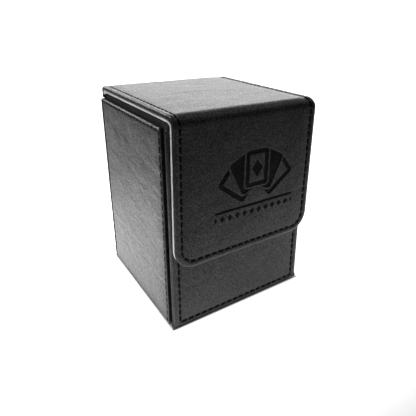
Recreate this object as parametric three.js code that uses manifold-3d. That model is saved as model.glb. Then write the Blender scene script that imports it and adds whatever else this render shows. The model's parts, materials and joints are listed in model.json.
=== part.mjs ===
// Card deck box with a flip lid: a board box lined with microfibre, covered in stitched leatherette
// panels. A leatherette strip makes the hinge, the lid and the flap. Magnets in the flap and in the
// front panel keep it shut.
//
// Millimetres, +Z up. The origin is the centre of the bounding box's underside. The flap closes over
// the front, which faces -Y.

import * as THREE from 'three';
import { mergeVertices } from 'three/addons/utils/BufferGeometryUtils.js';
import Module from 'manifold-3d';

const wasm = await Module();
wasm.setup();

// ---------------------------------------------------------------- driving dimensions

const width = 75;
const bodyDepth = 75;
const height = 100;
const flapReach = 3.6; // the closed flap's face stands this far ahead of the front panel's
const flapBottom = 32.5; // height of the flap's lower edge

const wallTop = 96; // top of the inner box
const panelTop = 94; // top of the stitched side and front panels
const sidePanelSetback = 4.6; // from the front panel's face to the side panels' front edges
const sidePanelInset = 0.3; // the side panels stop this far short of the back's face
const frontPanelInset = 0.4; // the front panel is this much narrower than the box on each side

const skin = 0.7; // leatherette
const board = 1.0; // greyboard inside a covered panel
const coreBoard = 1.2; // greyboard of the inner box
const wrap = 0.35; // thin covering around the inner box
const lining = 0.6; // microfibre inside the box
const stripLining = 1.1; // padded microfibre under the lid and the flap
const liningEdge = 0.5; // that lining stops this far short of the leatherette's edge
const glue = 0.05; // glue line between two layers

const stripWidth = 74.1; // hinge, lid and flap
const stripShift = 0.45; // the strip is laid a little to the right of the box's middle
const flapCornerRadius = 9.5;
const bendRadius = 4.5; // outside of the bend from lid to flap
const foldRadius = 1.2; // folded leatherette edge of the back, the base and the hinge
const panelCornerRadius = 1.0;
const creaseSetback = 3.5; // each hinge crease lies this far from the back's top corner
const creaseGap = 0.15; // half the gap between two covers that meet at a crease

const magnetRadius = 5;
const magnetThickness = 0.8;
const magnetSpacing = 44;
const magnetHeight = 45;

const threadWidth = 0.5;
const threadDepth = 0.25;
const grooveClearance = 0.04;
const sideSeamInset = 1.15;
const frontSeamInset = 3.4;
const frontSeamHeight = 2.2; // the front panel's lower seam above its lower edge
const stripSeamInset = 3.1;

const cutAbove = 1; // a cutter stands this far clear of the face it cuts
const curveSegments = 5;
const magnetSides = 24;

// ---------------------------------------------------------------- places that follow from them

const halfWidth = width / 2;
const flapY = -(bodyDepth + flapReach) / 2; // outer face of the flap
const frontY = flapY + flapReach; // outer face of the front panel
const backY = -flapY; // outer face of the back
const panel = skin + glue + board; // thickness of a covered panel
const stripThickness = panel + glue + stripLining;

// The inner box in plan, outside its wrap. The stitched panels and the back close around it.
const innerBox = {
  x0: -halfWidth + panel + glue,
  x1: halfWidth - panel - glue,
  y0: frontY + panel + glue,
  y1: backY - panel - glue,
};
const innerBoxBottom = panel + glue;

const strip = { left: stripShift - stripWidth / 2, right: stripShift + stripWidth / 2 };
const backCrease = backY - creaseSetback;
const lowerCrease = height - creaseSetback;
const bendCentre = { y: flapY + bendRadius, z: height - bendRadius };
const quarter = Math.PI / 2;
const middleOfBend = quarter * 1.5;
const bendGapAngle = creaseGap / bendRadius;

// ---------------------------------------------------------------- materials

function finish(color, roughness, metalness = 0) {
  return new THREE.MeshStandardMaterial({ color, roughness, metalness });
}

const leatherette = finish(0x1d1d1e, 0.42);
const wrapCloth = finish(0x262627, 0.6);
const microfibre = finish(0xb9b9b8, 0.95);
const greyboard = finish(0x8b877e, 0.9);
const sewingThread = finish(0x0b0b0c, 0.55);
const magnetSteel = finish(0xb4b6ba, 0.3, 1);

// ---------------------------------------------------------------- outlines

function shrink(area, by) {
  return { x0: area.x0 + by, x1: area.x1 - by, y0: area.y0 + by, y1: area.y1 - by };
}

// Rectangle with one radius at its upper corners and one at its lower corners.
function rounded({ x0, x1, y0, y1 }, upperRadius, lowerRadius = upperRadius) {
  const shape = new THREE.Shape();
  shape.moveTo(x0 + lowerRadius, y0);
  shape.lineTo(x1 - lowerRadius, y0);
  shape.absarc(x1 - lowerRadius, y0 + lowerRadius, lowerRadius, -quarter, 0);
  shape.lineTo(x1, y1 - upperRadius);
  shape.absarc(x1 - upperRadius, y1 - upperRadius, upperRadius, 0, quarter);
  shape.lineTo(x0 + upperRadius, y1);
  shape.absarc(x0 + upperRadius, y1 - upperRadius, upperRadius, quarter, Math.PI);
  shape.lineTo(x0, y0 + lowerRadius);
  shape.absarc(x0 + lowerRadius, y0 + lowerRadius, lowerRadius, Math.PI, Math.PI + quarter);
  return shape;
}

// Closed band that runs just inside a rectangle's edge.
function band(area, thickness, radius) {
  const shape = rounded(area, radius);
  shape.holes.push(rounded(shrink(area, thickness), Math.max(radius - thickness, radius / 3)));
  return shape;
}

// Closed band around the middle line of a seam.
function seamBand(seam, half) {
  return band(shrink(seam, -half), 2 * half, panelCornerRadius + half);
}

// Band around the middle line of a seam with an open foot: up one leg, across, and down the other.
function seamArch(seam, half) {
  const outer = shrink(seam, -half);
  const inner = shrink(seam, half);
  const outerRadius = panelCornerRadius + half;
  const innerRadius = panelCornerRadius - half;
  const shape = new THREE.Shape();
  shape.moveTo(outer.x0, seam.y0);
  shape.lineTo(inner.x0, seam.y0);
  shape.absarc(inner.x0 + innerRadius, inner.y1 - innerRadius, innerRadius, Math.PI, quarter, true);
  shape.absarc(inner.x1 - innerRadius, inner.y1 - innerRadius, innerRadius, quarter, 0, true);
  shape.lineTo(inner.x1, seam.y0);
  shape.lineTo(outer.x1, seam.y0);
  shape.absarc(outer.x1 - outerRadius, outer.y1 - outerRadius, outerRadius, 0, quarter);
  shape.absarc(outer.x0 + outerRadius, outer.y1 - outerRadius, outerRadius, quarter, Math.PI);
  return shape;
}

// Part of the strip's cross-section around the bend, between two depths below its outer face. The
// bend turns from the lid's top (a quarter turn) to the flap's front (a half turn). Lead holds the
// corners that come before the bend, from the inside out, and tail those that come after it.
function bendLayer(outerDepth, innerDepth, fromAngle, toAngle, { lead = [], tail = [] }) {
  const { y, z } = bendCentre;
  const shape = new THREE.Shape();
  lead.forEach((point, index) => (index ? shape.lineTo(...point) : shape.moveTo(...point)));
  shape.absarc(y, z, bendRadius - outerDepth, fromAngle, toAngle, false);
  tail.forEach((point) => shape.lineTo(...point));
  shape.absarc(y, z, bendRadius - innerDepth, toAngle, fromAngle, true);
  return shape;
}

// ---------------------------------------------------------------- solids

// Where an outline's x, its y and its depth point when it is pushed along an axis of the box.
const directions = {
  x: [new THREE.Vector3(0, 1, 0), new THREE.Vector3(0, 0, 1), new THREE.Vector3(1, 0, 0)],
  y: [new THREE.Vector3(1, 0, 0), new THREE.Vector3(0, 0, 1), new THREE.Vector3(0, -1, 0)],
  z: [new THREE.Vector3(1, 0, 0), new THREE.Vector3(0, 1, 0), new THREE.Vector3(0, 0, 1)],
};

// Pushes an outline along an axis, from one place on it to the other.
function extrude(shape, axis, from, to) {
  const depth = Math.abs(to - from);
  const geometry = new THREE.ExtrudeGeometry(shape, { depth, bevelEnabled: false, curveSegments });
  geometry.applyMatrix4(new THREE.Matrix4().makeBasis(...directions[axis]));
  const start = new THREE.Vector3();
  start[axis] = axis === 'y' ? Math.max(from, to) : Math.min(from, to);
  return geometry.translate(...start.toArray());
}

function block(x0, x1, y0, y1, z0, z1) {
  const geometry = new THREE.BoxGeometry(x1 - x0, y1 - y0, z1 - z0);
  return geometry.translate((x0 + x1) / 2, (y0 + y1) / 2, (z0 + z1) / 2);
}

function toSolid(geometry) {
  const bare = geometry.clone();
  bare.deleteAttribute('normal');
  bare.deleteAttribute('uv');
  const merged = mergeVertices(bare, 1e-4);
  return new wasm.Manifold(
    new wasm.Mesh({
      numProp: 3,
      vertProperties: new Float32Array(merged.attributes.position.array),
      triVerts: new Uint32Array(merged.index.array),
    }),
  );
}

function toGeometry(solid) {
  const mesh = solid.getMesh();
  const geometry = new THREE.BufferGeometry();
  geometry.setAttribute('position', new THREE.BufferAttribute(new Float32Array(mesh.vertProperties), 3));
  geometry.setIndex(new THREE.BufferAttribute(new Uint32Array(mesh.triVerts), 1));
  geometry.computeVertexNormals();
  return geometry;
}

function cut(geometry, ...tools) {
  return toGeometry(tools.reduce((rest, tool) => rest.subtract(toSolid(tool)), toSolid(geometry)));
}

function join(geometry, ...others) {
  return toGeometry(others.reduce((sum, other) => sum.add(toSolid(other)), toSolid(geometry)));
}

function common(geometry, other) {
  return toGeometry(toSolid(geometry).intersect(toSolid(other)));
}

// ---------------------------------------------------------------- assembly

const deckBox = new THREE.Group();
const box = new THREE.Group();
const hinge = new THREE.Group();
const lid = new THREE.Group();
const flap = new THREE.Group();
deckBox.add(box, hinge, lid, flap);

function addPiece(group, name, geometry, material) {
  const mesh = new THREE.Mesh(geometry, material);
  mesh.name = name;
  group.add(mesh);
  return mesh;
}

// ---------------------------------------------------------------- inner box

// Four board walls stand on a board floor. A thin wrap goes around them, a microfibre binding is
// folded over their tops, and microfibre lines the walls and the floor.
function addInnerBox() {
  const outer = shrink(innerBox, wrap + glue);
  const inner = shrink(outer, coreBoard);
  const floorTop = innerBoxBottom + coreBoard;
  const wallFoot = floorTop + glue;
  const boardTop = wallTop - wrap - glue;
  const between = shrink(inner, glue);
  const boards = {
    floor_board: [outer.x0, outer.x1, outer.y0, outer.y1, innerBoxBottom, floorTop],
    front_wall_board: [outer.x0, outer.x1, outer.y0, inner.y0, wallFoot, boardTop],
    back_wall_board: [outer.x0, outer.x1, inner.y1, outer.y1, wallFoot, boardTop],
    left_wall_board: [outer.x0, inner.x0, between.y0, between.y1, wallFoot, boardTop],
    right_wall_board: [inner.x1, outer.x1, between.y0, between.y1, wallFoot, boardTop],
  };
  for (const [name, sides] of Object.entries(boards)) {
    addPiece(box, name, block(...sides), greyboard);
  }
  addPiece(box, 'wall_wrap', extrude(band(innerBox, wrap, wrap), 'z', innerBoxBottom, panelTop), wrapCloth);

  const wallThickness = wrap + coreBoard + 2 * glue;
  const rim = band(innerBox, wallThickness + wrap, wrap);
  const underRim = band(shrink(innerBox, wrap), wallThickness - wrap, glue);
  const rimFoot = panelTop + glue;
  const channel = extrude(underRim, 'z', rimFoot - cutAbove, wallTop - wrap);
  addPiece(box, 'rim_binding', cut(extrude(rim, 'z', rimFoot, wallTop), channel), microfibre);

  const lined = shrink(inner, glue);
  addPiece(box, 'wall_lining', extrude(band(lined, lining, lining), 'z', wallFoot, panelTop), microfibre);
  const carpet = rounded(shrink(lined, lining + glue), lining);
  addPiece(box, 'floor_lining', extrude(carpet, 'z', wallFoot, wallFoot + lining), microfibre);
}

// ---------------------------------------------------------------- stitched panels

// A flat covered panel: leatherette folded around a board, with a seam sunk in its outer face. It
// lies across an axis, and side is the direction that its outer face looks in along that axis. The
// seam's outline comes from seamShape(half its width, overrun past an open foot). The panel's board
// is returned, so that it can be cut before it is added.
function addPanel(name, axis, side, face, area, seamShape) {
  const slab = (shape, from, to) => extrude(shape, axis, face - side * from, face - side * to);
  const filled = shrink(area, skin);
  const cover = cut(
    slab(rounded(area, panelCornerRadius), 0, panel),
    slab(rounded(filled, glue), skin, panel + cutAbove),
    slab(
      seamShape(threadWidth / 2 + grooveClearance, cutAbove),
      -cutAbove,
      threadDepth + grooveClearance,
    ),
  );
  addPiece(box, `${name}_leather`, cover, leatherette);
  addPiece(box, `${name}_thread`, slab(seamShape(threadWidth / 2, 0), 0, threadDepth), sewingThread);
  return slab(rounded(shrink(filled, glue), glue), skin + glue, panel);
}

function addSidePanels() {
  const area = { x0: frontY + sidePanelSetback, x1: backY - sidePanelInset, y0: 0, y1: panelTop };
  const seam = shrink(area, sideSeamInset);
  const seamShape = (half, overrun) => seamArch({ ...seam, y0: area.y0 - overrun }, half);
  const leftBoard = addPanel('left_side', 'x', -1, -halfWidth, area, seamShape);
  addPiece(box, 'left_side_board', leftBoard, greyboard);
  const rightBoard = addPanel('right_side', 'x', 1, halfWidth, area, seamShape);
  addPiece(box, 'right_side_board', rightBoard, greyboard);
}

const magnetPlaces = { left: -magnetSpacing / 2, right: magnetSpacing / 2 };

function magnetPockets(face) {
  const radius = magnetRadius + glue;
  return Object.values(magnetPlaces).map((x) => {
    const pocket = new THREE.CylinderGeometry(radius, radius, 4 * board, magnetSides);
    return pocket.translate(x, face, magnetHeight);
  });
}

// Two discs in a board, flush with its outer face.
function addMagnets(group, name, face) {
  const disc = new THREE.CylinderGeometry(magnetRadius, magnetRadius, magnetThickness, magnetSides);
  for (const [side, x] of Object.entries(magnetPlaces)) {
    const magnet = addPiece(group, `${name}_magnet_${side}`, disc, magnetSteel);
    magnet.position.set(x, face + magnetThickness / 2, magnetHeight);
  }
}

function addFrontPanel() {
  const half = halfWidth - frontPanelInset;
  const area = { x0: -half, x1: half, y0: 0, y1: panelTop };
  const seam = { ...shrink(area, frontSeamInset), y0: frontSeamHeight };
  const plainBoard = addPanel('front', 'y', -1, frontY, area, (half) => seamBand(seam, half));
  const boardFace = frontY + skin + glue;
  addPiece(box, 'front_board', cut(plainBoard, ...magnetPockets(boardFace)), greyboard);
  addMagnets(box, 'front', boardFace);
}

// ---------------------------------------------------------------- back and base

// One piece of leatherette runs down the back, turns under the box and covers the base. The side
// panels close its edges.
function addBackAndBase() {
  const { x0: left, x1: right, y0: front } = innerBox;
  const top = lowerCrease - creaseGap;
  const outline = new THREE.Shape();
  outline.moveTo(front, 0);
  outline.lineTo(backY - foldRadius, 0);
  outline.absarc(backY - foldRadius, foldRadius, foldRadius, -quarter, 0);
  outline.lineTo(backY, top);
  outline.lineTo(backY - panel, top);
  outline.lineTo(backY - panel, panel);
  outline.lineTo(front, panel);

  const base = shrink({ x0: left, x1: right, y0: front, y1: backY - panel }, skin);
  const back = shrink({ x0: left, x1: right, y0: panel, y1: top }, skin);
  const seam = shrink({ x0: left, x1: right, y0: 0, y1: top }, stripSeamInset);
  const groove = seamBand(seam, threadWidth / 2 + grooveClearance);
  const cover = cut(
    extrude(outline, 'x', left, right),
    block(base.x0, base.x1, base.y0, base.y1, skin, panel + cutAbove),
    block(back.x0, back.x1, backY - panel - cutAbove, backY - skin, back.y0, back.y1),
    extrude(groove, 'y', backY - threadDepth - grooveClearance, backY + cutAbove),
  );
  addPiece(box, 'back_and_base_leather', cover, leatherette);
  const thread = extrude(seamBand(seam, threadWidth / 2), 'y', backY - threadDepth, backY);
  addPiece(box, 'back_thread', thread, sewingThread);

  const baseFilling = shrink(base, glue);
  const baseSides = [baseFilling.x0, baseFilling.x1, baseFilling.y0, baseFilling.y1];
  addPiece(box, 'base_board', block(...baseSides, skin + glue, panel), greyboard);
  const backFilling = shrink(back, glue);
  const backDepth = [backY - panel, backY - skin - glue];
  const backSides = [backFilling.x0, backFilling.x1, ...backDepth, backFilling.y0, backFilling.y1];
  addPiece(box, 'back_board', block(...backSides), greyboard);
}

// ---------------------------------------------------------------- hinge strip

// Soft strip between the two creases: it turns the back's top corner when the lid is shut.
function addHingeStrip() {
  const foot = lowerCrease + creaseGap;
  const front = backCrease + creaseGap;
  const leather = new THREE.Shape();
  leather.moveTo(backY - panel, foot);
  leather.lineTo(backY, foot);
  leather.absarc(backY - foldRadius, height - foldRadius, foldRadius, 0, quarter);
  leather.lineTo(front, height);
  leather.lineTo(front, height - panel);
  leather.lineTo(backY - panel, height - panel);
  addPiece(hinge, 'hinge_leather', extrude(leather, 'x', strip.left, strip.right), leatherette);

  const outer = panel + glue;
  const soft = new THREE.Shape();
  soft.moveTo(backY - outer, foot);
  soft.lineTo(backY - outer, height - outer);
  soft.lineTo(front, height - outer);
  soft.lineTo(front, height - stripThickness);
  soft.lineTo(backY - stripThickness, height - stripThickness);
  soft.lineTo(backY - stripThickness, foot);
  const hingeLining = extrude(soft, 'x', strip.left + liningEdge, strip.right - liningEdge);
  addPiece(hinge, 'hinge_lining', hingeLining, microfibre);
}

// ---------------------------------------------------------------- lid

const seamX = { left: strip.left + stripSeamInset, right: strip.right - stripSeamInset };

// Layer of the lid between two depths below its top, from a back edge to the middle of the bend.
function lidLayer(outerDepth, innerDepth, back) {
  const lead = [
    [back, height - innerDepth],
    [back, height - outerDepth],
  ];
  return bendLayer(outerDepth, innerDepth, quarter, middleOfBend - bendGapAngle, { lead });
}

function addLid() {
  const back = backCrease - creaseGap;
  const threadShape = lidLayer(0, threadDepth, back);
  const grooveShape = lidLayer(-cutAbove, threadDepth + grooveClearance, back + cutAbove);
  const thread = (x) => extrude(threadShape, 'x', x - threadWidth / 2, x + threadWidth / 2);
  const grooveHalf = threadWidth / 2 + grooveClearance;
  const groove = (x) => extrude(grooveShape, 'x', x - grooveHalf, x + grooveHalf);

  const filled = shrink({ x0: strip.left, x1: strip.right, y0: bendCentre.y - skin, y1: back }, skin);
  const filledSides = [filled.x0, filled.x1, filled.y0, filled.y1];
  const cover = cut(
    extrude(lidLayer(0, panel, back), 'x', strip.left, strip.right),
    block(...filledSides, height - panel - cutAbove, height - skin),
    groove(seamX.left),
    groove(seamX.right),
  );
  addPiece(lid, 'lid_leather', cover, leatherette);
  addPiece(lid, 'lid_thread_left', thread(seamX.left), sewingThread);
  addPiece(lid, 'lid_thread_right', thread(seamX.right), sewingThread);

  const filling = shrink(filled, glue);
  const fillingSides = [filling.x0, filling.x1, filling.y0, filling.y1];
  addPiece(lid, 'lid_board', block(...fillingSides, height - panel, height - skin - glue), greyboard);
  const soft = lidLayer(panel + glue, stripThickness, back);
  const lidLining = extrude(soft, 'x', strip.left + liningEdge, strip.right - liningEdge);
  addPiece(lid, 'lid_lining', lidLining, microfibre);
}

// ---------------------------------------------------------------- flap

// Layer of the flap between two depths below its face, from the middle of the bend down to a foot.
function flapLayer(outerDepth, innerDepth, foot) {
  const tail = [
    [flapY + outerDepth, foot],
    [flapY + innerDepth, foot],
  ];
  return bendLayer(outerDepth, innerDepth, middleOfBend + bendGapAngle, Math.PI, { tail });
}

// The flap's outline seen from the front, in from its edges by an inset.
function flapOutline(inset, top) {
  const area = { x0: strip.left + inset, x1: strip.right - inset, y0: flapBottom + inset, y1: top };
  return rounded(area, skin, flapCornerRadius - inset);
}

// U-shaped band along the flap's edge, up to the start of the bend.
function flapSeamBand(half) {
  const top = bendCentre.z;
  const outer = stripSeamInset - half;
  const inner = stripSeamInset + half;
  const leftCentre = strip.left + flapCornerRadius;
  const rightCentre = strip.right - flapCornerRadius;
  const low = flapBottom + flapCornerRadius;
  const shape = new THREE.Shape();
  shape.moveTo(strip.left + inner, top);
  shape.lineTo(strip.left + outer, top);
  shape.absarc(leftCentre, low, flapCornerRadius - outer, Math.PI, Math.PI + quarter);
  shape.absarc(rightCentre, low, flapCornerRadius - outer, -quarter, 0);
  shape.lineTo(strip.right - outer, top);
  shape.lineTo(strip.right - inner, top);
  shape.absarc(rightCentre, low, flapCornerRadius - inner, 0, -quarter, true);
  shape.absarc(leftCentre, low, flapCornerRadius - inner, Math.PI + quarter, Math.PI, true);
  return shape;
}

// The flap's seam as a solid: the U on the flat, and two ends that run up around the bend.
function flapSeam(half, outerDepth, innerDepth) {
  const lap = 1; // the ends reach this far down into the U
  const endShape = flapLayer(outerDepth, innerDepth, bendCentre.z - lap);
  const end = (x) => extrude(endShape, 'x', x - half, x + half);
  const flat = extrude(flapSeamBand(half), 'y', flapY + outerDepth, flapY + innerDepth);
  return join(flat, end(seamX.left), end(seamX.right));
}

function addFlap() {
  const throughFlap = ['y', flapY - cutAbove, bendCentre.y + cutAbove];
  const cover = cut(
    common(
      extrude(flapLayer(0, panel, flapBottom), 'x', strip.left, strip.right),
      extrude(flapOutline(0, height), ...throughFlap),
    ),
    extrude(flapOutline(skin, bendCentre.z), 'y', flapY + skin, flapY + panel + cutAbove),
    flapSeam(threadWidth / 2 + grooveClearance, -cutAbove, threadDepth + grooveClearance),
  );
  addPiece(flap, 'flap_leather', cover, leatherette);
  addPiece(flap, 'flap_thread', flapSeam(threadWidth / 2, 0, threadDepth), sewingThread);

  const boardFace = flapY + skin + glue;
  const boardOutline = flapOutline(skin + glue, bendCentre.z - glue);
  const plainBoard = extrude(boardOutline, 'y', boardFace, flapY + panel);
  addPiece(flap, 'flap_board', cut(plainBoard, ...magnetPockets(boardFace)), greyboard);
  addMagnets(flap, 'flap', boardFace);

  const soft = flapLayer(panel + glue, stripThickness, flapBottom);
  const flapLining = common(
    extrude(soft, 'x', strip.left + liningEdge, strip.right - liningEdge),
    extrude(flapOutline(liningEdge, height), ...throughFlap),
  );
  addPiece(flap, 'flap_lining', flapLining, microfibre);
}

addInnerBox();
addSidePanels();
addFrontPanel();
addBackAndBase();
addHingeStrip();
addLid();
addFlap();

export default deckBox;
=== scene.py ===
"""Looks of the card deck box: stitched leatherette sheets, microfibre lining, thread, studio and camera.

A sheet is made flat, as (across, along, height) in millimetres, and then laid on the box. Height is
measured outward from the face of the CAD part it stands for."""

import json
import math

import bmesh
import bpy
import numpy as np
from mathutils import Matrix, Vector
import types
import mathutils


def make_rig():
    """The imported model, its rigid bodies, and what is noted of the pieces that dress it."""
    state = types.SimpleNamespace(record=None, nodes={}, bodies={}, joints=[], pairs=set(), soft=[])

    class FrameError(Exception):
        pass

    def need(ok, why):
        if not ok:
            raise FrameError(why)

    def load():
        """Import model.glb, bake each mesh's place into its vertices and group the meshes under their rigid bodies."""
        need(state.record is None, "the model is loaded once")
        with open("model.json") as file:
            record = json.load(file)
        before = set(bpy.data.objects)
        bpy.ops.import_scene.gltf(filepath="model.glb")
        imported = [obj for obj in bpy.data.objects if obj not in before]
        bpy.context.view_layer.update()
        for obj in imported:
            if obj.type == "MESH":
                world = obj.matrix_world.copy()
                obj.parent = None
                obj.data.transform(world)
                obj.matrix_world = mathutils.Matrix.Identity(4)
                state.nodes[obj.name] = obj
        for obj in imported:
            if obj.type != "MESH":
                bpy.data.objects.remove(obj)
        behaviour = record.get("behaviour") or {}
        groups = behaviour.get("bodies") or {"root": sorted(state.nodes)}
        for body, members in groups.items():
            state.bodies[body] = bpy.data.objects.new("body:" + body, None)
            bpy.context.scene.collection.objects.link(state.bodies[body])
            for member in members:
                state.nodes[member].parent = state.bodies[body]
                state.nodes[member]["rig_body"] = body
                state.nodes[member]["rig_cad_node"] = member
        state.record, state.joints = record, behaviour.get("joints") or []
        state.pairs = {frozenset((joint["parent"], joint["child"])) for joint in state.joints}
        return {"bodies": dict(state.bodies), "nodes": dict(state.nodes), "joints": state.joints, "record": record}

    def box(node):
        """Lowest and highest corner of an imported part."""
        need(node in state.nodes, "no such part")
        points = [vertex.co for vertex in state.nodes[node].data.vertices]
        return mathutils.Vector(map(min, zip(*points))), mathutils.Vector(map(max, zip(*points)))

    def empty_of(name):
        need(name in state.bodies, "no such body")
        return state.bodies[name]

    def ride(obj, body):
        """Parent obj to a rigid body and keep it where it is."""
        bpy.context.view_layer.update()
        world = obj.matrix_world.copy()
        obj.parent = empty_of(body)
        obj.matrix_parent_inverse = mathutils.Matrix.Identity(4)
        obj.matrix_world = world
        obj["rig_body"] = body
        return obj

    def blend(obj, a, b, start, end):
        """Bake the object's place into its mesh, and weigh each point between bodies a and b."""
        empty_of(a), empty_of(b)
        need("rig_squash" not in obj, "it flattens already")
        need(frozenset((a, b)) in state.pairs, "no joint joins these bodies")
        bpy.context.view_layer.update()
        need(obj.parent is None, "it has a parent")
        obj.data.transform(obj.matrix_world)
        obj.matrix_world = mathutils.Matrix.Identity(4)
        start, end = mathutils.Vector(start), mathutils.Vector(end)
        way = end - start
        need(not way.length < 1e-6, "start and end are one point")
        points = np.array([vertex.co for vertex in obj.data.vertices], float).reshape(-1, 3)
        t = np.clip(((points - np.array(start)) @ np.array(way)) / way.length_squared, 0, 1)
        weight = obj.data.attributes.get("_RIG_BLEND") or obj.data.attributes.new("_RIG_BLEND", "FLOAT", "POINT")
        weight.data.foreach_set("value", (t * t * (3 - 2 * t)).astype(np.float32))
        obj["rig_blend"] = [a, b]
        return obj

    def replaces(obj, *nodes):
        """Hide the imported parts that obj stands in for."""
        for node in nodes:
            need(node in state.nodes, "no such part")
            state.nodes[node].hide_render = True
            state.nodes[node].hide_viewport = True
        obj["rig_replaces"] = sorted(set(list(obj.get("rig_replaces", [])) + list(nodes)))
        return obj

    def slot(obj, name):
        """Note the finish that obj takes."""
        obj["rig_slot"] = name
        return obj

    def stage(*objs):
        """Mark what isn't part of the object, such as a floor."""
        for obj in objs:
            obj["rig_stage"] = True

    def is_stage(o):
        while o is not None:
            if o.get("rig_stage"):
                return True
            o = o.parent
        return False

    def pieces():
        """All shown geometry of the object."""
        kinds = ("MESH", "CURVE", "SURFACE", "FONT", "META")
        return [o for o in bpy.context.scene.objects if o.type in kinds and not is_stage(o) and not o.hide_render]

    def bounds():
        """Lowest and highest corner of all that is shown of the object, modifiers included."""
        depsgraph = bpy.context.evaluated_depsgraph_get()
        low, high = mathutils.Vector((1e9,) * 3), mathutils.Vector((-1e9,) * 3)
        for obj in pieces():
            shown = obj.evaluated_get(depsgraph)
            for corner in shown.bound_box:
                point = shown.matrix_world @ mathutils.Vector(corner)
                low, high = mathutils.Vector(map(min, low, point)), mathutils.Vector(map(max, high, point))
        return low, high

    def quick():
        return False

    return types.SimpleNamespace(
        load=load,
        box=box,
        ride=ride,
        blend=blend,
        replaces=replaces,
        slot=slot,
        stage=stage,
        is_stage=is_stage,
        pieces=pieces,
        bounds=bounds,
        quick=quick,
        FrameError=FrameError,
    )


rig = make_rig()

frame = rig.load()
cad_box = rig.bounds()

MM = 0.001
STEP = 1.2 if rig.quick() else 0.5  # spacing of a sheet's vertices
FINE = 0.6 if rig.quick() else 0.24  # the same at seams, folds and the motif


# ---------------------------------------------------------------- sizes, from the frame

def box_mm(node):
    low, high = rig.box(node)
    return np.array(low) / MM, np.array(high) / MM


SIDE_LOW, SIDE_HIGH = box_mm("left_side_leather")
RIGHT_FACE = box_mm("right_side_leather")[1][0]
FRONT_LOW, FRONT_HIGH = box_mm("front_leather")
BACK_LOW, BACK_HIGH = box_mm("back_and_base_leather")
HINGE_LOW, HINGE_HIGH = box_mm("hinge_leather")
FLAP_LOW = box_mm("flap_leather")[0]
FLAP_LINING_LOW = box_mm("flap_lining")[0]
RIM_LOW, RIM_HIGH = box_mm("rim_binding")
WRAP_LOW, WRAP_HIGH = box_mm("wall_wrap")
CAVITY_LOW, CAVITY_HIGH = box_mm("wall_lining")
FLOOR_LOW, FLOOR_HIGH = box_mm("floor_lining")
PIVOTS = {joint["name"]: np.array(joint["pos_m"]) / MM for joint in frame["joints"]}
JOINED_BODIES = {joint["name"]: (joint["parent"], joint["child"]) for joint in frame["joints"]}

PANEL = FRONT_HIGH[1] - FRONT_LOW[1]  # a covered board
SKIN = 0.7  # leatherette on its own
LINING = 1.1  # padded microfibre of the lid and flap
WALL_CLOTH = 0.35  # cloth over the walls and their rim
WALL_LINING = 0.6  # microfibre on the inside of the walls
THREAD = 0.5  # width the CAD part gives the thread
STITCH_WIDTH = 0.8
PITCH = 3.6  # a stitch and its gap
GAP = 0.65
GROOVE = 0.38  # depth that a seam's thread presses into the leather
GROOVE_SPREAD = 0.55  # how far to each side the groove reaches
GAP_RISE = 1.25  # share of the groove that fills up again between two stitches
GAP_SPREAD = 0.42
BORDER_BULGE = 0.17  # height of the puffed border between a rim and its seam
SIDE_BULGE = 0.3  # the same on the side panels
FIELD_PUFF = 0.16  # height of the puffed field inside a seam
MOTIF_DEPTH = 0.3
FLAP_SKIN_SHARE = 0.67  # on the flap the leather's rim is thinner, and the lining behind it thicker

STRIP_LEFT, STRIP_RIGHT = HINGE_LOW[0], HINGE_HIGH[0]
STRIP_MIDDLE = (STRIP_LEFT + STRIP_RIGHT) / 2
STRIP_HALF = (STRIP_RIGHT - STRIP_LEFT) / 2
BACK_HALF = BACK_HIGH[0]
TOP_Z = HINGE_HIGH[2]
BACK_Y = BACK_HIGH[1]
FLAP_Y = FLAP_LOW[1]
FLAP_FOOT = FLAP_LOW[2]
LINING_INSET = FLAP_LINING_LOW[2] - FLAP_FOOT
LINING_DEPTH = FLAP_LINING_LOW[1] - FLAP_Y + LINING

BASE_RADIUS = 1.9  # soft fold between base and back
HINGE_RADIUS = 2.2  # soft fold between back and lid
INNER_HINGE_RADIUS = 0.5  # the lining's fold there
BEND_RADIUS = (PIVOTS["flap_bend"][1] - FLAP_Y) / (1 - math.cos(math.pi / 4))  # pivot halfway round the bend
FLAP_CORNER = 9.5
PANEL_CORNER = 1.1
SEAM_CORNER = 0.6
CREASE_REACH = 1.7  # half the length over which a crease bends
COVER_WIDENING = 0.4  # height over which the cover widens above the side panels
LINING_FOOT = RIM_HIGH[2] + 0.05

FLAP_SHIFT = 0.2  # the closed flap lies this far to the right
FLAP_SPREAD = 0.005  # and is wider by this share
FLAP_SKEW = 0.014  # it hangs askew by this slope, turned about the height below
FLAP_TURN_Z = 58


def seam_lines(thread, axis):
    """Middle lines of a seam's two outer runs, across an axis."""
    low, high = box_mm(thread)
    return low[axis] + THREAD / 2, high[axis] - THREAD / 2


SIDE_SEAM = seam_lines("left_side_thread", 1)[0] - SIDE_LOW[1]
STRIP_SEAM = seam_lines("lid_thread_left", 0)[0] - box_mm("lid_leather")[0][0]


# ---------------------------------------------------------------- laying flat sheets on the box

def smooth(t):
    t = np.clip(t, 0, 1)
    return t * t * (3 - 2 * t)


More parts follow.
